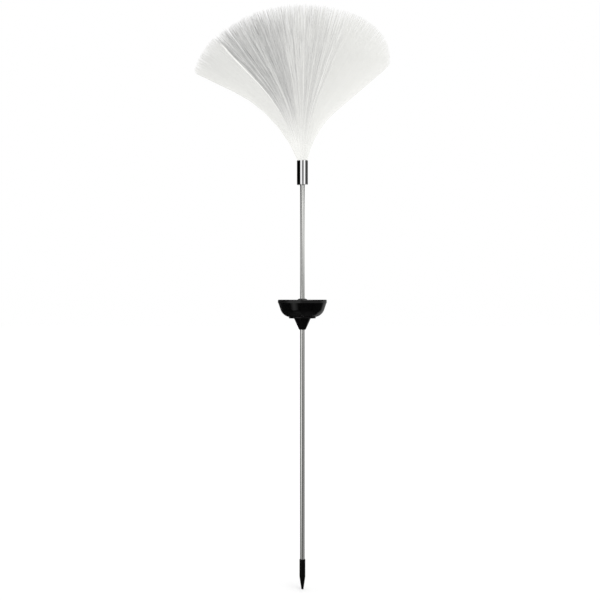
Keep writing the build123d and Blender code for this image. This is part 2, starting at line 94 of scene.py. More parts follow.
@dataclass
class Wiring:
    """Adds nodes to a node tree and links them."""

    tree: bpy.types.NodeTree

    def add(self, kind: str, terms: dict[str, Term] | None = None, **settings: str) -> bpy.types.Node:
        """Add a node.

        Args:
            kind: Blender's name for the kind of node.
            terms: Name of each input that needs one, with its plain value or its source.
            **settings: Properties of the node.

        Returns:
            The new node.
        """
        node = self.tree.nodes.new(kind)
        for name, value in settings.items():
            setattr(node, name, value)
        for name, term in (terms or {}).items():
            self.fill(node.inputs[name], term)
        return node

    def fill(self, socket: Socket, term: Term) -> None:
        """Give an input its plain value or its source.

        Args:
            socket: The input.
            term: Plain number or colour, or the socket that feeds it.
        """
        if isinstance(term, Socket):
            self.tree.links.new(term, socket)
        elif socket.type == "RGBA":
            socket.default_value = (*term, 1.0)
        else:
            socket.default_value = term

    def calc(self, operation: str, *terms: float | Socket) -> Socket:
        """Work out a number from sockets and constants.

        Args:
            operation: Operation of Blender's Math node.
            *terms: Sockets or plain numbers, in order.

        Returns:
            The socket that holds the result.
        """
        node = self.add("ShaderNodeMath", operation=operation)
        for socket, term in zip(node.inputs, terms):
            self.fill(socket, term)
        return node.outputs[0]

    def mapped(self, value: Socket, source: Span, target: Span = (0.0, 1.0)) -> Socket:
        """Spread a value's source range over its target range, and hold the result at the ends."""
        ends = {"From Min": source[0], "From Max": source[1], "To Min": target[0], "To Max": target[1]}
        return self.add("ShaderNodeMapRange", {"Value": value, **ends}).outputs["Result"]

    def split(self, vector: Socket) -> tuple[Socket, ...]:
        """Give the X, Y and Z of a vector."""
        return tuple(self.add("ShaderNodeSeparateXYZ", {"Vector": vector}).outputs)

    def seen(self, path: bpy.types.Node) -> Socket:
        """Give 1 for what is looked at, mirrored or seen through glass, from the tree's Light Path node."""
        mirrored = self.calc("MAXIMUM", path.outputs["Is Glossy Ray"], path.outputs["Is Transmission Ray"])
        return self.calc("MAXIMUM", path.outputs["Is Camera Ray"], mirrored)


class Surface(Wiring):
    """A material in the making: one Principled shader and the patterns that feed it."""

    def __init__(self, name: str) -> None:
        """Start a material.

        Args:
            name: Name of the new material.
        """
        self.material = bpy.data.materials.new(name)
        self.material.use_nodes = True
        super().__init__(self.material.node_tree)
        self.shader = self.tree.nodes["Principled BSDF"]
        self.places = self.add("ShaderNodeTexCoord").outputs["Object"]

    def put(self, name: str, term: Term) -> None:
        """Give one of the shader's own sockets its plain value or its source."""
        self.fill(self.shader.inputs[name], term)

    def noise(self, size: float, marks: Marks = Marks.EVEN, detail: float = 3.0) -> Socket:
        """Add a noise pattern in the object's own place.

        Args:
            size: Size of the pattern's features, in metres.
            marks: Way that the features stretch.
            detail: Number of finer layers.

        Returns:
            The pattern, from 0 to 1.
        """
        scale = tuple(1 / (size * stretch) for stretch in marks.value)
        places = self.add("ShaderNodeMapping", {"Vector": self.places, "Scale": scale}).outputs["Vector"]
        pattern = self.add("ShaderNodeTexNoise", {"Vector": places, "Scale": 1.0, "Detail": detail})
        return pattern.outputs["Fac"]

    def cells(self, size: float, disorder: float = 1.0) -> bpy.types.Node:
        """Add a pattern of cells of a size in metres, on a grid at no disorder and at random at 1."""
        terms = {"Vector": self.places, "Scale": 1 / size, "Randomness": disorder}
        return self.add("ShaderNodeTexVoronoi", terms)

    def ranged(self, pattern: Socket, span: Span = (0.0, 1.0)) -> Socket:
        """Spread a noise pattern over a span, from its low places to its high ones."""
        return self.mapped(pattern, NOISE_SPAN, span)

    def blended(self, share: Socket, first: Colour | Socket, second: Colour | Socket) -> Socket:
        """Blend two colours by a pattern.

        Args:
            share: Share of the second colour.
            first: Colour where the share is 0.
            second: Colour where the share is 1.

        Returns:
            The blended colour.
        """
        node = self.add("ShaderNodeMix", {"Factor": share}, data_type="RGBA")
        colours = [socket for socket in node.inputs if socket.type == "RGBA"]
        for socket, colour in zip(colours, (first, second)):
            self.fill(socket, colour)
        return next(socket for socket in node.outputs if socket.type == "RGBA")

    def bump(self, pattern: Socket, depth: float) -> None:
        """Raise the surface by a pattern, whose height at 1 is the depth in metres."""
        node = self.add("ShaderNodeBump", {"Height": pattern, "Distance": depth})
        self.put("Normal", node.outputs["Normal"])


@dataclass(frozen=True)
class Finish:
    """A finish that a slot of the record names."""

    slot: str

    def lay(self, surface: Surface) -> None:
        """Wire the finish, which each kind does in its own way."""
        raise NotImplementedError

    def material(self) -> bpy.types.Material:
        """Make the material.

        Returns:
            The new material.
        """
        surface = Surface(self.slot)
        self.lay(surface)
        return surface.material


@dataclass(frozen=True)
class Plastic(Finish):
    """Moulded plastic, rubber or laminate: a fine grain, slow changes of tone and patchy gloss."""

    colour: Colour
    shade: Colour
    roughness: Span
    grain: float = 0.5 * MM
    depth: float = 0.012 * MM
    marks: Marks = Marks.EVEN
    gloss: float = 0.5
    tone_patch: float = 12 * MM
    gloss_patch: float = 5 * MM
    ior: float = 1.5

    def lay(self, surface: Surface) -> None:
        """Wire the finish.

        Args:
            surface: The material in the making.
        """
        patches = surface.ranged(surface.noise(self.tone_patch))
        surface.put("Base Color", surface.blended(patches, self.colour, self.shade))
        gloss = surface.noise(self.gloss_patch, self.marks)
        surface.put("Roughness", surface.ranged(gloss, self.roughness))
        surface.bump(surface.noise(self.grain, self.marks), self.depth)
        surface.put("IOR", self.ior)
        surface.put("Specular IOR Level", self.gloss)


@dataclass(frozen=True)
class Metal(Finish):
    """Bare or plated metal with drawing, turning or polishing marks."""

    colour: Colour
    shade: Colour
    roughness: Span
    marks: Marks
    mark_size: float = 0.12 * MM
    mark_detail: float = 2.0
    depth: float = 0.004 * MM
    metallic: float = 1.0
    smear_size: float = 9 * MM
    smear_tones: Span = (0.4, 1.0)
    smear_gloss: Span = (0.85, 1.15)

    def lay(self, surface: Surface) -> None:
        """Wire the finish.

        Args:
            surface: The material in the making.
        """
        lines = surface.noise(self.mark_size, self.marks, self.mark_detail)
        smears = surface.noise(self.smear_size)
        tone = surface.calc("MULTIPLY", surface.ranged(lines), surface.ranged(smears, self.smear_tones))
        surface.put("Base Color", surface.blended(tone, self.colour, self.shade))
        smeared = surface.ranged(smears, self.smear_gloss)
        surface.put("Roughness", surface.calc("MULTIPLY", smeared, surface.ranged(lines, self.roughness)))
        surface.bump(lines, self.depth)
        surface.put("Metallic", self.metallic)


@dataclass(frozen=True)
class TwoLeads(Finish):
    """Insulation of a pair of leads, one colour on each side of the light's middle."""

    colour: Colour
    other_colour: Colour
    roughness: Span = (0.3, 0.5)
    gloss_patch: float = 2 * MM
    grain: float = 0.3 * MM
    depth: float = 0.01 * MM

    def lay(self, surface: Surface) -> None:
        """Wire the finish.

        Args:
            surface: The material in the making.
        """
        across = surface.split(surface.places)[0]
        side = surface.calc("GREATER_THAN", across, 0.0)
        surface.put("Base Color", surface.blended(side, self.colour, self.other_colour))
        surface.put("Roughness", surface.ranged(surface.noise(self.gloss_patch), self.roughness))
        surface.bump(surface.noise(self.grain), self.depth)


@dataclass(frozen=True)
class Silicon(Finish):
    """Solar cells: mottled blue silicon under thin printed fingers and two wider bars."""

    colour: Colour
    shade: Colour
    print_colour: Colour
    crystal_size: float = 3 * MM
    finger_pitch: float = 1.7 * MM
    finger_width: float = 0.14 * MM
    bar_place: float = 17.5 * MM
    bar_width: float = 0.9 * MM
    print_rise: float = 0.02 * MM
    roughness: Span = (0.25, 0.4)
    gloss_patch: float = 2 * MM

    def lay(self, surface: Surface) -> None:
        """Wire the finish.

        Args:
            surface: The material in the making.
        """
        across, back, _ = surface.split(surface.places)
        crystals = surface.cells(self.crystal_size).outputs["Color"]
        silicon = surface.blended(crystals, self.colour, self.shade)
        off_finger = surface.calc("PINGPONG", back, self.finger_pitch / 2)
        finger = surface.calc("LESS_THAN", off_finger, self.finger_width / 2)
        off_bar = surface.calc("SUBTRACT", surface.calc("ABSOLUTE", across), self.bar_place)
        bar = surface.calc("LESS_THAN", surface.calc("ABSOLUTE", off_bar), self.bar_width / 2)
        printed = surface.calc("MAXIMUM", finger, bar)
        surface.put("Base Color", surface.blended(printed, silicon, self.print_colour))
        surface.put("Roughness", surface.ranged(surface.noise(self.gloss_patch), self.roughness))
        surface.bump(printed, self.print_rise)


@dataclass(frozen=True)
class ClearPlastic(Finish):
    """Clear sheet or lens with faint ripples and wipe marks."""

    colour: Colour
    roughness: Span
    wipe_size: float = 8 * MM
    wipe_detail: float = 5.0
    ripple_size: float = 6 * MM
    ripple_detail: float = 1.0
    depth: float = 0.01 * MM
    ior: float = 1.49

    def lay(self, surface: Surface) -> None:
        """Wire the finish.

        Args:
            surface: The material in the making.
        """
        wipes = surface.noise(self.wipe_size, detail=self.wipe_detail)
        surface.put("Roughness", surface.ranged(wipes, self.roughness))
        surface.bump(surface.noise(self.ripple_size, detail=self.ripple_detail), self.depth)
        surface.put("Base Color", self.colour)
        surface.put("Transmission Weight", 1.0)
        surface.put("IOR", self.ior)


@dataclass(frozen=True)
class Potting(Finish):
    """Polished face of the fibre bundle: round fibre ends in clear resin."""

    fibre_colour: Colour
    resin_colour: Colour
    fibre_size: float = 0.62 * MM
    disorder: float = 0.35
    resin_start: float = 0.46
    depth: float = 0.02 * MM
    roughness: Span = (0.12, 0.28)
    gloss_patch: float = 1.5 * MM

    def lay(self, surface: Surface) -> None:
        """Wire the finish.

        Args:
            surface: The material in the making.
        """
        off_fibre = surface.cells(self.fibre_size, self.disorder).outputs["Distance"]
        resin = surface.calc("GREATER_THAN", off_fibre, self.resin_start)
        surface.put("Base Color", surface.blended(resin, self.fibre_colour, self.resin_colour))
        surface.put("Roughness", surface.ranged(surface.noise(self.gloss_patch), self.roughness))
        surface.bump(off_fibre, self.depth)


@dataclass(frozen=True)
class Fibre(Finish):
    """Thin clear fibre seen against a pale room: its light and shade are painted into the strand's tone,
    with pale ripples painted on as shine.
    """

    painted_shade_attribute: str
    cover: float
    shine: Colour = (0.93, 0.93, 0.92)
    shine_shares: Span = (0.0, 0.25)
    ripple_size: float = 3 * MM
    ripple_detail: float = 1.0
    roughness: Span = (0.25, 0.4)
    gloss_patch: float = 1 * MM
    ior: float = 1.49
    gloss: float = 0.2

    def lay(self, surface: Surface) -> None:
        """Wire the finish.

        Args:
            surface: The material in the making.
        """
        # The strand's tone attribute is painted light and shade; the pale ripples mixed in are painted
        # shine.
        tone = surface.add("ShaderNodeAttribute", attribute_name=self.painted_shade_attribute).outputs["Color"]
        ripple = surface.noise(self.ripple_size, detail=self.ripple_detail)
        share = surface.ranged(ripple, self.shine_shares)
        surface.put("Base Color", surface.blended(share, tone, self.shine))
        surface.put("Roughness", surface.ranged(surface.noise(self.gloss_patch), self.roughness))
        surface.put("Alpha", self.cover)
        surface.put("IOR", self.ior)
        surface.put("Specular IOR Level", self.gloss)


FINISHES: tuple[Finish, ...] = (
    Plastic("spike_plastic", grey(0.0012), grey(0.0024), (0.3, 0.42), marks=Marks.LENGTHWISE, gloss=0.12),
    Plastic("housing_plastic", grey(0.0012), (0.0022, 0.0022, 0.0023), (0.06, 0.1), depth=0.002 * MM),
    Plastic("seal_rubber", grey(0.02), grey(0.03), (0.6, 0.8)),
    Plastic("panel_backing", (0.02, 0.03, 0.06), (0.03, 0.04, 0.08), (0.4, 0.6)),
    Plastic("board_laminate", (0.02, 0.16, 0.06), (0.03, 0.2, 0.08), (0.3, 0.45), grain=0.2 * MM),
    Plastic("component_black", grey(0.015), grey(0.025), (0.5, 0.7), grain=0.1 * MM),
    Plastic("inductor_green", (0.1, 0.3, 0.14), (0.14, 0.36, 0.18), (0.3, 0.45)),
    Plastic("knob_plastic", (0.015, 0.015, 0.016), (0.025, 0.025, 0.026), (0.35, 0.5), grain=0.2 * MM),
    Plastic("cell_sleeve", (0.03, 0.28, 0.08), (0.04, 0.34, 0.1), (0.2, 0.3)),
    Plastic("holder_plastic", (0.78, 0.78, 0.75), (0.84, 0.84, 0.82), (0.35, 0.5)),
    Metal(
        "tube_steel", (0.8, 0.8, 0.775), (0.88, 0.88, 0.86), (0.05, 0.09), Marks.LENGTHWISE,
        depth=0.006 * MM, metallic=0.9,
    ),
    Metal("ferrule_chrome", grey(0.97), (0.93, 0.93, 0.935), (0.02, 0.045), Marks.ROUND, depth=0.0005 * MM),
    Metal("screw_steel", grey(0.45), grey(0.58), (0.25, 0.4), Marks.EVEN),
    Metal("plated_contact", (0.75, 0.74, 0.7), (0.85, 0.84, 0.8), (0.15, 0.25), Marks.EVEN),
    TwoLeads("lead_insulation", grey(0.02), (0.5, 0.02, 0.015)),
    Silicon("solar_silicon", (0.006, 0.012, 0.05), (0.012, 0.028, 0.1), (0.5, 0.52, 0.55)),
    ClearPlastic("panel_glaze", (0.96, 0.98, 1.0), (0.02, 0.06)),
    ClearPlastic("lamp_lens", grey(0.98), (0.05, 0.1)),
    Potting("fibre_potting", (0.8, 0.81, 0.82), (0.55, 0.56, 0.58)),
)


class Workshop:
    """Makes each finish once and hands it to the pieces that wear it."""

    def __init__(self) -> None:
        """Start with no finish made, and learn each node's slot from the record."""
        self.finishes: dict[str, Finish] = {finish.slot: finish for finish in FINISHES}
        self.made: dict[str, bpy.types.Material] = {}
        self.slots = {part["node"]: part["material_slot"] for part in frame["record"]["subparts"]}

    def material(self, slot: str) -> bpy.types.Material:
        """Give the material of a slot, made on its first use.

        Args:
            slot: Name of the record's material slot.

        Returns:
            The slot's material.
        """
        if slot not in self.made:
            self.made[slot] = self.finishes[slot].material()
        return self.made[slot]

    def dress_nodes(self, *names: str) -> None:
        """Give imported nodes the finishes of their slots.

        Args:
            *names: Names of the nodes.
        """
        for name in names:
            material = self.material(self.slots[name])
            for slot in frame["nodes"][name].material_slots:
                slot.material = material

    def dress_piece(self, piece: bpy.types.Object, slot: str) -> None:
        """Give a modelled piece the finish of a slot."""
        piece.data.materials.append(self.material(slot))


def new_piece(
    name: str, points: np.ndarray, faces: list[list[int]], smooth: bool = False
) -> bpy.types.Object:
    """Make a mesh object.

    Args:
        name: Name of the piece.
        points: Corner places in metres, one row each.
        faces: Corner numbers of each face.
        smooth: Whether its faces are shaded smooth.

    Returns:
        The new object, in the scene.
    """
    mesh = bpy.data.meshes.new(name)
    mesh.from_pydata(points.tolist(), [], faces)
    mesh.polygons.foreach_set("use_smooth", np.full(len(faces), smooth))
    mesh.update()
    piece = bpy.data.objects.new(name, mesh)
    bpy.context.scene.collection.objects.link(piece)
    return piece


@dataclass
class Stake:
    """Ground spike and the two steel tubes."""

    spike: str = "ground_spike"
    tubes: tuple[str, ...] = ("lower_tube", "upper_tube")

    def dress(self, workshop: Workshop) -> None:
        """Give the spike and the tubes their finishes."""
        workshop.dress_nodes(self.spike, *self.tubes)


@dataclass
class Housing:
    """Bowl, cover, seal and screws."""

    shells: tuple[str, ...] = ("bowl_housing", "top_cover")
    closing: tuple[str, ...] = ("cover_seal", "cover_screws")

    def dress(self, workshop: Workshop) -> None:
        """Give the housing's pieces their finishes."""
        workshop.dress_nodes(*self.shells, *self.closing)


@dataclass
class Electronics:
    """Board, switch, cell and leads inside the housing."""

    board: tuple[str, ...] = ("circuit_board", "driver_chip", "inductor")
    switch: tuple[str, ...] = ("switch_body", "switch_knob")
    cell: tuple[str, ...] = ("battery_cell", "battery_contacts")
    leads: tuple[str, ...] = ("lamp_leads", "panel_leads", "battery_leads")

    def dress(self, workshop: Workshop) -> None:
        """Give the inner pieces their finishes."""
        workshop.dress_nodes(*self.board, *self.switch, *self.cell, *self.leads)


@dataclass
class SolarPanel:
    """Ring of solar cells under a clear window with rounded edges."""

    under_window: tuple[str, ...] = ("panel_board", "solar_cells")
    edge_round: float = 0.25 * MM
    round_steps: int = 4
    turns: int = 128
    cell_gap: float = 0.04 * MM
    seat_gap: float = 0.02 * MM
    sharp_angle: float = 35.0

    def hole_radius(self) -> float:
        """Give the radius of the window's hole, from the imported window's own corners."""
        corners = frame["nodes"]["panel_window"].data.vertices
        return min(math.hypot(corner.co.x, corner.co.y) for corner in corners)

    def section(self) -> list[tuple[float, float]]:
        """Give the window's section.

        Returns:
            Points of radius and height, in metres, in order round the section.
        """
        low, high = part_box("panel_window")
        outer = high.x - self.seat_gap
        inner = self.hole_radius() + self.seat_gap
        bottom = low.z + self.cell_gap
        points = [(inner, bottom), (outer, bottom)]
        for centre, start in ((outer - self.edge_round, 0), (inner + self.edge_round, 90)):
            for step in range(self.round_steps + 1):
                angle = math.radians(start + 90 * step / self.round_steps)
                level = high.z - self.edge_round + self.edge_round * math.sin(angle)
                points.append((centre + self.edge_round * math.cos(angle), level))
        return points

    def faces(self, count: int) -> list[list[int]]:
        """List the window's faces, from each turn of its section to the next.

        Args:
            count: Number of points in the section.

        Returns:
            The corner numbers of each face.
        """
        faces = []
        for turn in range(self.turns):
            here, there = turn * count, (turn + 1) % self.turns * count
            for step in range(count):
                after = (step + 1) % count
                faces.append([here + step, there + step, there + after, here + after])
        return faces

    def build(self, workshop: Workshop) -> None:
        """Make the window and dress the panel.

        Args:
            workshop: Holds the finishes.
        """
        section = self.section()
        angles = np.linspace(0, 2 * math.pi, self.turns, endpoint=False)
        points = np.array([(r * math.cos(a), r * math.sin(a), z) for a in angles for r, z in section])
        window = new_piece("clear_window", points, self.faces(len(section)), smooth=True)
        window.data.set_sharp_from_angle(angle=math.radians(self.sharp_angle))
        workshop.dress_piece(window, "panel_glaze")
        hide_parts("panel_window")
        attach(window, "head")
        workshop.dress_nodes(*self.under_window)


@dataclass
class LampHead:
    """Ferrule with the lamp, its holder and the fibre bundle."""

    cup: str = "ferrule"
    lamp: tuple[str, ...] = ("lamp_holder", "lamp")
    bundle: str = "fibre_bundle"

    def dress(self, workshop: Workshop) -> None:
        """Give the lamp head's pieces their finishes."""
        workshop.dress_nodes(self.cup, *self.lamp, self.bundle)


@dataclass(frozen=True)
class SprayForm:
    """Form of the whole spray: a pair of values holds its left side's and its right side's."""

    length: float = 230.8 * MM
    trims: Span = (19.5 * MM, 35 * MM)
    trim_power: int = 5
    bend_shares: Span = (0.7, 0.45)
    side_spreads: Span = (64.0, 48.8)
    fore_spread: float = 54.5
    root_shares: Span = (0.34, 0.24)
    root_margin: float = 0.5 * MM
    core_sides: Span = (-0.74, 0.42)
    front_narrowing: float = 0.13

    @staticmethod
    def from_left(side: np.ndarray, pair: Span) -> np.ndarray:
        """Go from the left side's value to the right side's."""
        return pair[0] + (pair[1] - pair[0]) * (1 + side) / 2

    def leans(self, fan: np.ndarray) -> np.ndarray:
        """Give the lean of each strand's tip to the side and to the back, in radians."""
        side_spread = self.from_left(fan[:, 0], self.side_spreads)
        return np.radians(np.stack([side_spread * fan[:, 0], self.fore_spread * fan[:, 1]], axis=1))

    def lengths(self, fan: np.ndarray) -> np.ndarray:
        """Give each strand's length, shorter towards the spray's edge."""
        trim = self.from_left(fan[:, 0], self.trims)
        return self.length - trim * np.linalg.norm(fan, axis=1) ** self.trim_power

    def narrowing(self, fore: np.ndarray) -> np.ndarray:
        """Give the core's share of its full width, less towards the spray's front and back."""
        return 1 - self.front_narrowing * fore**2


@dataclass
class Fibres:
    """One layer of the spray: fine fibres that leave the bundle, bend outwards and run out straight.

    Tones, and places along a strand, are shares from 0 to 1. A strand's place in the spray has two shares
    from -1 to 1, from left to right and from front to back.
    """

    name: str
    strand_count: int
    radius: float
    straight_steps: int
    scatter: float
    cover: float
    seed: int
    tone_places: tuple[float, ...]
    painted_shade_levels: tuple[float, ...]
    tip_lift: float
    form: SprayForm = SprayForm()
    bend_steps: int = 5
    sides: int = 3
    taper_start: float = 0.86
    tip_share: float = 0.3
    length_scatter: float = 2.8 * MM
    wave: float = 0.9 * MM
    wave_growth: float = 1.5
    wave_turns: Span = (5.0, 4.0)
    # Painted glow of light at the strands' roots.
    painted_root_glow: float = 0.93
    root_length: float = 0.04
    grey_length: float = 0.34
    lift_start: float = 0.65
    darkest: float = 0.05
    warm_tones: Span = (0.4, 0.8)
    blue_shares: Span = (0.985, 0.965)
    cell_margin: float = 0.12
    cell_tallness: float = 2.0

    def __post_init__(self) -> None:
        """Lay the strands out and draw their chances."""
        self.steps = self.bend_steps + 1 + self.straight_steps
        self.chance = np.random.default_rng(self.seed)
        fan = self.lay_fan()
        self.strand_count = len(fan)
        self.fan = fan / np.maximum(np.linalg.norm(fan, axis=1), 1.0)[:, None]
        self.phase = self.chance.uniform(0, 2 * math.pi, (self.strand_count, 2))

    def lay_fan(self) -> np.ndarray:
        """Lay the strands out evenly, with a little scatter.

        Returns:
            Each strand's place in the spray.
        """
        index = np.arange(self.strand_count)
        share = np.sqrt((index + 0.5) / self.strand_count)
        azimuth = index * math.pi * (3 - math.sqrt(5))
        fan = share[:, None] * np.stack([np.cos(azimuth), np.sin(azimuth)], axis=1)
        return fan + self.chance.normal(0, self.scatter, fan.shape)

    def painted_shade_greys(self) -> np.ndarray:
        """Give each strand's painted shade out along its length, from its place between left and right."""
        return np.interp(self.fan[:, 0], self.tone_places, self.painted_shade_levels)

    def shortness(self) -> np.ndarray:
        """Give how much shorter than the spray each strand is."""
        return self.length_scatter * self.chance.random(self.strand_count)

    def stations(self, length: np.ndarray, bend_length: np.ndarray) -> np.ndarray:
        """Space out the points along each strand.

        Args:
            length: Length of each strand.
            bend_length: Length of its bend.

        Returns:
            How far along its strand each point lies.
        """
        bend = np.linspace(0, 1, self.bend_steps + 1)
        straight = np.linspace(0, 1, self.straight_steps + 1)[1:]
        run_out = bend_length[:, None] + (length - bend_length)[:, None] * straight
        return np.concatenate([bend_length[:, None] * bend, run_out], axis=1)

    def sway(self, along: np.ndarray) -> tuple[np.ndarray, np.ndarray]:
        """Work out how far each strand waves off its line, the more the further out.

        Args:
            along: How far along its strand each point lies.

        Returns:
            How far each point is moved beside its strand's bend and across it.
        """
        reach = along / self.form.length
        swing = self.wave * reach**self.wave_growth
        beside, across = (
            swing * np.sin(turns * reach + self.phase[:, which, None])
            for which, turns in enumerate(self.wave_turns)
        )
        return beside, across

    def centrelines(self) -> tuple[np.ndarray, np.ndarray, np.ndarray]:
        """Work out where the strands run.

        Returns:
            The points of each strand, the direction across its bend at each point and the direction
            beside its bend.
        """
        form = self.form
        bundle_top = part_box("fibre_bundle")[1]
        side = self.fan[:, 0]
        lean = form.leans(self.fan)
        tip_angle = np.linalg.norm(lean, axis=1)
        heading = lean / tip_angle[:, None]
        root_angle = tip_angle * form.from_left(side, form.root_shares)
        length = form.lengths(self.fan) - self.shortness()
        bend_length = length * form.from_left(side, form.bend_shares)
        radius = (bend_length / (tip_angle - root_angle))[:, None]
        along = self.stations(length, bend_length)
        bent = np.minimum(along, bend_length[:, None])
        angle = root_angle[:, None] + bent / radius
        run = along - bent
        cosine, sine = np.cos(angle), np.sin(angle)
        out = radius * (np.cos(root_angle)[:, None] - cosine) + run * sine
        rise = radius * (sine - np.sin(root_angle)[:, None]) + run * cosine
        beside = np.stack([-heading[:, 1], heading[:, 0], np.zeros(self.strand_count)], axis=1)
        across = np.stack([cosine * heading[:, :1], cosine * heading[:, 1:], -sine], axis=2)
        points = np.stack([out * heading[:, :1], out * heading[:, 1:], rise], axis=2)
        points[:, :, :2] += (bundle_top.x - form.root_margin) * self.fan[:, None]
        points[:, :, 2] += bundle_top.z
        side_wave, fore_wave = self.sway(along)
        points += side_wave[:, :, None] * beside[:, None] + fore_wave[:, :, None] * across
        return points, across, beside

    def skin(self) -> np.ndarray:
        """Wrap each strand's line in its skin, which tapers near the tip.

        Returns:
            The skin's corners, by strand, by point along it and by side.
        """
        points, across, beside = self.centrelines()
        turn = np.arange(self.sides) * 2 * math.pi / self.sides
        around = np.cos(turn)[:, None] * across[:, :, None] + np.sin(turn)[:, None] * beside[:, None, None]
        along = np.linspace(0, 1, self.steps)
        radius = self.radius * np.interp(along, (0, self.taper_start, 1), (1, 1, self.tip_share))
        return points[:, :, None] + radius[:, None, None] * around

    def faces(self) -> list[list[int]]:
        """List the faces of all strands, the walls first and the two ends of each strand last.

        Returns:
            The corner numbers of each face.
        """
        ring = self.sides
        side = np.arange(ring)
        after = (side + 1) % ring
        wall = np.stack([side, after, ring + after, ring + side], axis=1)
        tube = (wall[None] + ring * np.arange(self.steps - 1)[:, None, None]).reshape(-1, 4)
        ends = np.stack([side[::-1], side + (self.steps - 1) * ring])
        starts = self.steps * ring * np.arange(self.strand_count)[:, None, None]
        walls = (tube[None] + starts).reshape(-1, 4)
        return walls.tolist() + (ends[None] + starts).reshape(-1, ring).tolist()

    def lay_map(self, piece: bpy.types.Object) -> None:
        """Give each strand a cell of its own in the piece's map, with its length up the cell.

        Args:
            piece: The piece, with its faces in this layer's order.
        """
        ring, gap, levels = self.sides, self.cell_margin, self.steps - 1
        corner = np.arange(ring)
        side = corner / ring
        level = np.arange(levels) / levels
        u = np.stack([side, side + 1 / ring, side + 1 / ring, side], axis=1)
        v = np.stack([level, level, level + 1 / levels, level + 1 / levels], axis=1)
        wall = np.stack(np.broadcast_arrays(u[None], v[:, None]), axis=3).reshape(-1, 2)
        # The two ends are small triangles in the cell's margins, under its foot and over its top.
        foot = np.stack([corner / (ring - 1), np.where(corner % 2, -gap, -gap / 3)], axis=1)
        ends = np.concatenate([foot, np.array([0, 1]) + foot * np.array([1, -1])])
        rows = math.ceil(math.sqrt(self.strand_count / self.cell_tallness))
        columns = math.ceil(self.strand_count / rows)
        index = np.arange(self.strand_count)
        place = np.stack([index % columns, index // columns], axis=1)[:, None]
        cells = [(place + gap + (1 - 2 * gap) * part) / (columns, rows) for part in (wall, ends)]
        uv = np.concatenate([cell.reshape(-1, 2) for cell in cells])
        piece.data.uv_layers.new(name="OFBake").data.foreach_set("uv", uv.ravel().astype(np.float32))

    def tones(self) -> np.ndarray:
        """Work out each strand's painted light and shade at each of its points, from a root painted pale as
        glowing light to its painted grey, changed by the layer's tip lift towards the tip.

        Returns:
            The tone of each point of each strand.
        """
        along = np.linspace(0, 1, self.steps)
        root = np.clip((along - self.root_length) / self.grey_length, 0, 1)
        greyed = root * root * (3 - 2 * root)
        tone = self.painted_root_glow + greyed * (self.painted_shade_greys()[:, None] - self.painted_root_glow)
        tone += self.tip_lift * np.clip((along - self.lift_start) / (1 - self.lift_start), 0, 1)
        return np.clip(tone, self.darkest, 1)

    def paint(self, piece: bpy.types.Object) -> None:
        """Write the strands' painted light and shade on their corners as colour, a little warmer where it is
        paler.

        Args:
            piece: The piece, with its corners in this layer's order.
        """
        tone = np.repeat(self.tones().ravel(), self.sides)
        blue = tone * np.interp(tone, self.warm_tones, self.blue_shares)
        colour = np.stack([tone, tone, blue, np.ones_like(tone)], axis=1)
        paint = piece.data.attributes.new("painted_fibre_shade", "FLOAT_COLOR", "POINT")
        paint.data.foreach_set("color", colour.ravel().astype(np.float32))

    def build(self) -> None:
        """Make the layer and dress it."""
        layer = new_piece(self.name, self.skin().reshape(-1, 3), self.faces())
        self.lay_map(layer)
        self.paint(layer)
        # So many thin clear strands would shade each other and the ferrule more than real ones do.
        # The spray's light and shade are painted into the strands' tones instead.
        layer.visible_diffuse = False
        layer.visible_shadow = False
        layer.data.materials.append(Fibre("fibre_acrylic", "painted_fibre_shade", self.cover).material())
        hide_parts("fibre_strands")
        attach(layer, "head")


@dataclass
class Veil(Fibres):
    """Pale outer fibres, which close the spray's surface evenly and are few where the core is."""

    name: str = "fibre_veil"
    strand_count: int = 9600
    radius: float = 0.3 * MM
    straight_steps: int = 2
    scatter: float = 0.006
    cover: float = 0.5
    seed: int = 7
    # Painted light and shade across the veil, paler to the right.
    tone_places: tuple[float, ...] = (-1.0, -0.9, -0.2, 0.4, 1.0)
    painted_shade_levels: tuple[float, ...] = (0.84, 0.77, 0.8, 0.85, 0.94)
    tone_scatter: float = 0.015
    tip_lift: float = -0.07
    rim_share: float = 0.55
    share_at_core: float = 0.12

    def lay_fan(self) -> np.ndarray:
        """Lay the strands out evenly, some of them on the rim, and take most away in front of the core.

        Returns:
            Each strand's place in the spray.
        """
        fan = super().lay_fan()
        share = np.minimum(np.linalg.norm(fan, axis=1), 1.0)
        rim = np.sqrt(1 - (1 - share**2) ** 2)
        at_rim = self.chance.random(self.strand_count) < self.rim_share
        fan *= np.where(at_rim, rim / share, 1.0)[:, None]
        left, right = self.form.core_sides
        side = fan[:, 0] / self.form.narrowing(fan[:, 1])
        at_core = (side > left) & (side < right)
        return fan[~at_core | (self.chance.random(self.strand_count) < self.share_at_core)]

    def painted_shade_greys(self) -> np.ndarray:
        """Give each strand's tone, painted paler to the right as light."""
        return super().painted_shade_greys() + self.chance.normal(0, self.tone_scatter, self.strand_count)


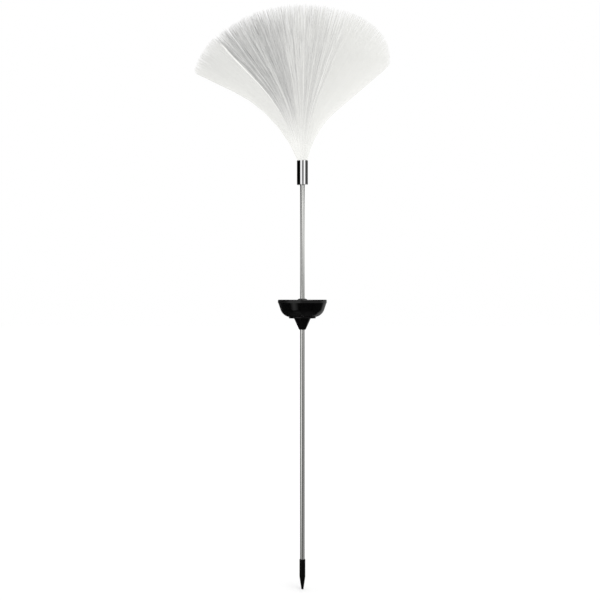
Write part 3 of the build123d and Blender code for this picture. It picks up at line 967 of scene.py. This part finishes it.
@dataclass
class Core(Fibres):
    """Inner fibres painted greyer as shade, in small tufts, with a few bright and dark ones among them.

    A pair of streaks or seams holds the bright one's value and the dark one's.
    """

    name: str = "fibre_core"
    strand_count: int = 2900
    radius: float = 0.22 * MM
    straight_steps: int = 6
    scatter: float = 0.012
    cover: float = 0.85
    seed: int = 11
    # Painted shade across the core, darkest at the left.
    tone_places: tuple[float, ...] = (-0.74, -0.65, -0.5, -0.35, -0.2, 0.0, 0.1, 0.2, 0.42)
    painted_shade_levels: tuple[float, ...] = (0.48, 0.41, 0.38, 0.38, 0.49, 0.63, 0.61, 0.64, 0.75)
    tip_lift: float = 0.06
    depth: float = 0.97
    # Steps that fill both directions evenly.
    side_step: float = 0.7548776662
    fore_step: float = 0.569840291
    tuft_count: int = 220
    tuft_pull: float = 0.12
    tuft_scatter: float = 0.018
    tone_scatter: float = 0.04
    front_edge: float = -0.7
    front_streaks: Span = (0.05, 0.09)
    inner_streaks: float = 0.04
    bright_lift: float = 0.32
    dark_share: float = 0.62
    dash_depth: float = 0.13
    short_places: Span = (-0.74, -0.3)
    short_span: Span = (3.2 * MM, 1.5 * MM)
    seam_counts: tuple[int, int] = (32, 18)
    seam_tones: Span = (1.0, 0.25)
    seam_places: Span = (-0.727, -0.708)
    seam_scatter: float = 0.003
    seam_span: Span = (-0.69, -0.5)

    def seams(self) -> tuple[slice, slice]:
        """Give the strands of the bright seam and of the dark seam."""
        bright, dark = self.seam_counts
        return slice(0, bright), slice(bright, bright + dark)

    def lay_fan(self) -> np.ndarray:
        """Lay the strands in tufts over the left and the middle, and two thin seams at the left edge.

        Returns:
            Each strand's place in the spray.
        """
        index = np.arange(self.strand_count)
        left, right = self.form.core_sides
        side = left + (right - left) * (index * self.side_step % 1)
        self.fore = 2 * (index * self.fore_step % 1) - 1
        fore = self.depth * np.sqrt(1 - side**2) * self.fore
        fan = np.stack([side, fore], axis=1)
        fan[:, 0] *= self.form.narrowing(fore)
        tufts = fan[self.chance.choice(self.strand_count, self.tuft_count, replace=False)]
        self.tuft = np.linalg.norm(fan[:, None] - tufts[None], axis=2).argmin(axis=1)
        fan += self.tuft_pull * (tufts[self.tuft] - fan) + self.chance.normal(0, self.scatter, fan.shape)
        for seam, count, place in zip(self.seams(), self.seam_counts, self.seam_places):
            fore = np.linspace(*self.seam_span, count)
            side = place * self.form.narrowing(fore) + self.chance.normal(0, self.seam_scatter, count)
            fan[seam] = np.stack([side, fore], axis=1)
        return fan

    def shortness(self) -> np.ndarray:
        """Give how much shorter than the spray each strand is, the most at the left edge."""
        return super().shortness() + np.interp(self.fan[:, 0], self.short_places, self.short_span)

    def painted_shade_greys(self) -> np.ndarray:
        """Give each strand's tone, painted darkest at the left as shade, with bright and dark streaks.

        Returns:
            The tones.
        """
        scatter = self.tuft_scatter * self.chance.normal(0, 1, self.tuft_count)[self.tuft]
        tone = super().painted_shade_greys() + scatter + self.tone_scatter * self.chance.normal(0, 1, self.strand_count)
        streak = self.chance.random(self.strand_count)
        front = self.fore < self.front_edge
        bright, dark = (np.where(front, share, self.inner_streaks) for share in self.front_streaks)
        tone = np.where(streak > 1 - bright, tone + self.bright_lift, tone)
        tone = np.where(streak < dark, tone * self.dark_share, tone)
        for seam, seam_tone in zip(self.seams(), self.seam_tones):
            tone[seam] = seam_tone
        return tone

    def tones(self) -> np.ndarray:
        """Break each strand's tone into short dashes, which grow stronger away from the root.

        Returns:
            The tone of each point of each strand.
        """
        tone = super().tones()
        dashes = self.chance.normal(0, self.dash_depth, tone.shape) * np.linspace(0, 1, self.steps)
        dashes[: sum(self.seam_counts)] = 0
        return np.clip(tone + dashes, self.darkest, 1)


@dataclass
class FibreSpray:
    """The whole spray: a pale even veil of fibres round a streaky core painted greyer as shade."""

    veil: Fibres
    core: Fibres

    def build(self) -> None:
        """Make both layers."""
        self.veil.build()
        self.core.build()


# Levels of white round the room, named for what mirrors them from its height. Each is a pair of the angle
# from the front in degrees, with the right side positive, and the level.
UNDERSIDE: Bands = (
    (-180, 0.04), (-130, 0.1), (-90, 0.05), (-60, 0.17), (-30, 0.15), (-15, 0.05), (30, 0.04), (45, 0.1),
    (80, 0.08), (110, 0.04), (140, 0.1), (180, 0.04),
)
LOWER_TUBE_FOOT: Bands = (
    (-165, 0.08), (-80, 0.08), (-72, 0.26), (-24, 0.26), (-17, 0.0), (28, 0.0), (33, 0.26), (80, 0.24),
    (95, 0.05), (120, 0.05), (130, 0.4), (160, 0.4), (170, 0.3),
)
LOWER_TUBE: Bands = (
    (-165, 0.0), (-80, 0.0), (-72, 0.88), (-24, 0.88), (-17, 0.0), (27, 0.0), (33, 0.18), (85, 0.16),
    (95, 0.25), (165, 0.3), (172, 0.9),
)
LOWER_TUBE_TOP: Bands = (
    (-172, 0.9), (-165, 0.0), (-80, 0.0), (-72, 0.66), (-24, 0.66), (-17, 0.14), (27, 0.14), (33, 0.34),
    (85, 0.3), (95, 0.22), (165, 0.25), (172, 0.9),
)
COVER_BAND: Bands = (
    (-165, 0.0), (-100, 0.0), (-80, 0.2), (-55, 0.95), (-14, 0.95), (-2, 0.3), (58, 0.33), (88, 0.2),
    (119, 0.5), (150, 0.3), (172, 0.9),
)
UPPER_TUBE_FOOT: Bands = (
    (-172, 0.9), (-165, 0.26), (-45, 0.26), (5, 0.28), (56, 0.28), (128, 0.42), (165, 0.42), (172, 0.9),
)
UPPER_TUBE: Bands = (
    (-172, 0.9), (-165, 0.34), (-108, 0.38), (-45, 0.34), (5, 0.54), (56, 0.7), (128, 0.76), (172, 0.9),
)
UPPER_TUBE_TOP: Bands = (
    (-172, 0.9), (-165, 0.2), (-110, 0.2), (-90, 0.06), (-34, 0.06), (-28, 1.0), (36, 1.0), (44, 0.5),
    (90, 0.56), (110, 0.44), (165, 0.44), (172, 0.9),
)
FERRULE: Bands = (
    (-175, 0.9), (-170, 0.0), (-45, 0.0), (-42, 1.0), (-12, 1.0), (-9, 0.2), (28, 0.2), (31, 1.0), (61, 1.0),
    (64, 0.05), (160, 0.07), (170, 0.08), (175, 0.9),
)
RIM_CARD: Bands = ((118, 0.02), (130, 0.45), (160, 0.45), (168, 0.02))


def even(level: float) -> Bands:
    """Give the same level all round."""
    return ((-180, level), (180, level))


def bowl_side(level: float) -> Bands:
    """Give the bands of a low card at the left of the camera and of a rim card behind the right."""
    return ((-68, 0.02), (-50, level), (-44, level), (-22, 0.02)) + RIM_CARD


@dataclass
class RoomLight(Wiring):
    """The world's light: white to the eye, plain on matt surfaces, banded in gloss.

    Its rows go from low to high, each with its angle above the horizon in degrees and its bands.
    """

    level: float
    rows: tuple[tuple[float, Bands], ...] = (
        (-66, UNDERSIDE),
        (-44, even(0.02)),
        (-38, bowl_side(0.6)),
        (-33, bowl_side(0.5)),
        (-26, bowl_side(0.25)),
        (-22, bowl_side(1.0)),
        (-17, bowl_side(0.15)),
        (-11, LOWER_TUBE_FOOT),
        (-6, LOWER_TUBE),
        (-1.35, LOWER_TUBE_TOP),
        (-1.15, COVER_BAND),
        (0.05, COVER_BAND),
        (0.2, UPPER_TUBE_FOOT),
        (2.3, UPPER_TUBE),
        (4.3, UPPER_TUBE_TOP),
        (4.85, FERRULE),
        (42, FERRULE),
        (60, even(0.9)),
    )

    def between(self, share: Socket, first: float | Socket, second: float | Socket) -> Socket:
        """Go from a first level to a second by a share from 0 to 1."""
        change = self.calc("SUBTRACT", second, first)
        return self.calc("MULTIPLY_ADD", share, change, first)

    def bands(self, turn: Socket, stops: Bands) -> Socket:
        """Make levels that change round the horizon.

        Args:
            turn: Share of a whole turn, with the front at a half.
            stops: The levels at their angles.

        Returns:
            The level.
        """
        ramp = self.add("ShaderNodeValToRGB", {"Fac": turn})
        elements = ramp.color_ramp.elements
        while len(elements) < len(stops):
            elements.new(1.0)
        for element, (angle, level) in zip(elements, stops):
            element.position = angle / 360 + 0.5
            element.color = (*grey(level), 1.0)
        return ramp.outputs["Color"]

    def build(self) -> None:
        """Wire the world's nodes."""
        right, back, up = self.split(self.add("ShaderNodeTexCoord").outputs["Generated"])
        azimuth = self.calc("ARCTAN2", right, self.calc("MULTIPLY", back, -1.0))
        turn = self.calc("MULTIPLY_ADD", azimuth, 1 / (2 * math.pi), 0.5)
        elevation = self.calc("MULTIPLY", self.calc("ARCSINE", up), 180 / math.pi)
        below, stops = self.rows[0]
        room = self.bands(turn, stops)
        for above, stops in self.rows[1:]:
            room = self.between(self.mapped(elevation, (below, above)), room, self.bands(turn, stops))
            below = above
        path = self.add("ShaderNodeLightPath")
        light = self.between(self.seen(path), self.level, 1.0)
        mirrored = self.between(path.outputs["Is Glossy Ray"], 1.0, room)
        self.fill(self.tree.nodes["Background"].inputs["Color"], self.calc("MULTIPLY", light, mirrored))


@dataclass
class Studio:
    """Floor, room, sun and camera."""

    floor_reach: float = 20.0
    floor_white: float = 0.97
    floor_lift: float = 0.05
    floor_grain: float = 40 * MM
    floor_roughness: Span = (0.85, 0.95)
    floor_gloss: float = 0.1
    room_level: float = 0.85
    sun_strength: float = 0.75
    sun_width: float = 40.0
    sun_tilt: Span = (35.0, 20.0)
    view_distance: float = 2.0
    view_side: float = -3.6 * MM
    view_height: float = 388.8 * MM
    lens: float = 80.0
    sensor: float = 36.0

    def floor_paint(self) -> bpy.types.Material:
        """Mix the floor's pale matt paint, which is clear from below.

        Returns:
            The new material.
        """
        surface = Surface("floor_paint")
        surface.put("Base Color", grey(self.floor_white))
        surface.put("Roughness", surface.ranged(surface.noise(self.floor_grain), self.floor_roughness))
        surface.put("Specular IOR Level", self.floor_gloss)
        surface.put("Emission Color", grey(1.0))
        seen = surface.seen(surface.add("ShaderNodeLightPath"))
        surface.put("Emission Strength", surface.calc("MULTIPLY", seen, self.floor_lift))
        below = surface.add("ShaderNodeNewGeometry").outputs["Backfacing"]
        choice = surface.add("ShaderNodeMixShader", {"Fac": below})
        surface.fill(choice.inputs[1], surface.shader.outputs["BSDF"])
        surface.fill(choice.inputs[2], surface.add("ShaderNodeBsdfTransparent").outputs["BSDF"])
        surface.fill(surface.tree.nodes["Material Output"].inputs["Surface"], choice.outputs["Shader"])
        return surface.material

    def make_floor(self) -> None:
        """Lay a pale floor under the light, seen from above only."""
        corners = self.floor_reach * np.array([(-1, -1, 0), (1, -1, 0), (1, 1, 0), (-1, 1, 0)])
        corners[:, 2] = cad_box[0].z
        floor = new_piece("floor", corners, [[0, 1, 2, 3]])
        floor.data.materials.append(self.floor_paint())
        # Gloss mirrors the room's lower rows in place of the floor.
        floor.visible_glossy = False

    def make_world(self) -> None:
        """Light the light from a white room with a few dark flags, which only gloss mirrors."""
        world = bpy.data.worlds.new("white_room")
        bpy.context.scene.world = world
        world.use_nodes = True
        world.cycles.sampling_method = "NONE"
        RoomLight(world.node_tree, self.room_level).build()

    def make_sun(self) -> None:
        """Hang one wide, soft sun for the floor's shadow."""
        sun = bpy.data.lights.new("soft_sun", "SUN")
        sun.energy = self.sun_strength
        sun.angle = math.radians(self.sun_width)
        holder = bpy.data.objects.new("soft_sun", sun)
        holder.rotation_euler = (*(math.radians(tilt) for tilt in self.sun_tilt), 0)
        bpy.context.scene.collection.objects.link(holder)

    def make_camera(self) -> None:
        """Set the camera level with the middle of the light."""
        lens = bpy.data.cameras.new("camera")
        lens.lens = self.lens
        lens.sensor_width = self.sensor
        camera = bpy.data.objects.new("camera", lens)
        camera.location = (self.view_side, -self.view_distance, self.view_height)
        camera.rotation_euler = (math.radians(90), 0, 0)
        bpy.context.scene.collection.objects.link(camera)
        bpy.context.scene.camera = camera

    def build(self) -> None:
        """Make the whole studio."""
        self.make_camera()
        self.make_floor()
        self.make_world()
        self.make_sun()
        bpy.context.scene.view_settings.view_transform = "Standard"


def main() -> None:
    """Build the studio and the light, piece by piece."""
    logging.basicConfig(level=logging.INFO, format="%(message)s")
    workshop = Workshop()
    Studio().build()
    log.info("studio: floor, room, sun and camera")
    Stake().dress(workshop)
    log.info("stake: spike and two tubes")
    Housing().dress(workshop)
    log.info("housing: bowl, cover, seal and screws")
    Electronics().dress(workshop)
    log.info("electronics: board, switch, cell and leads")
    SolarPanel().build(workshop)
    log.info("solar panel: board, cells and clear window")
    LampHead().dress(workshop)
    log.info("lamp head: ferrule, lamp, holder and bundle")
    spray = FibreSpray(Veil(), Core())
    spray.build()
    log.info("fibre spray: %d and %d strands", spray.veil.strand_count, spray.core.strand_count)


if __name__ == "__main__":
    main()
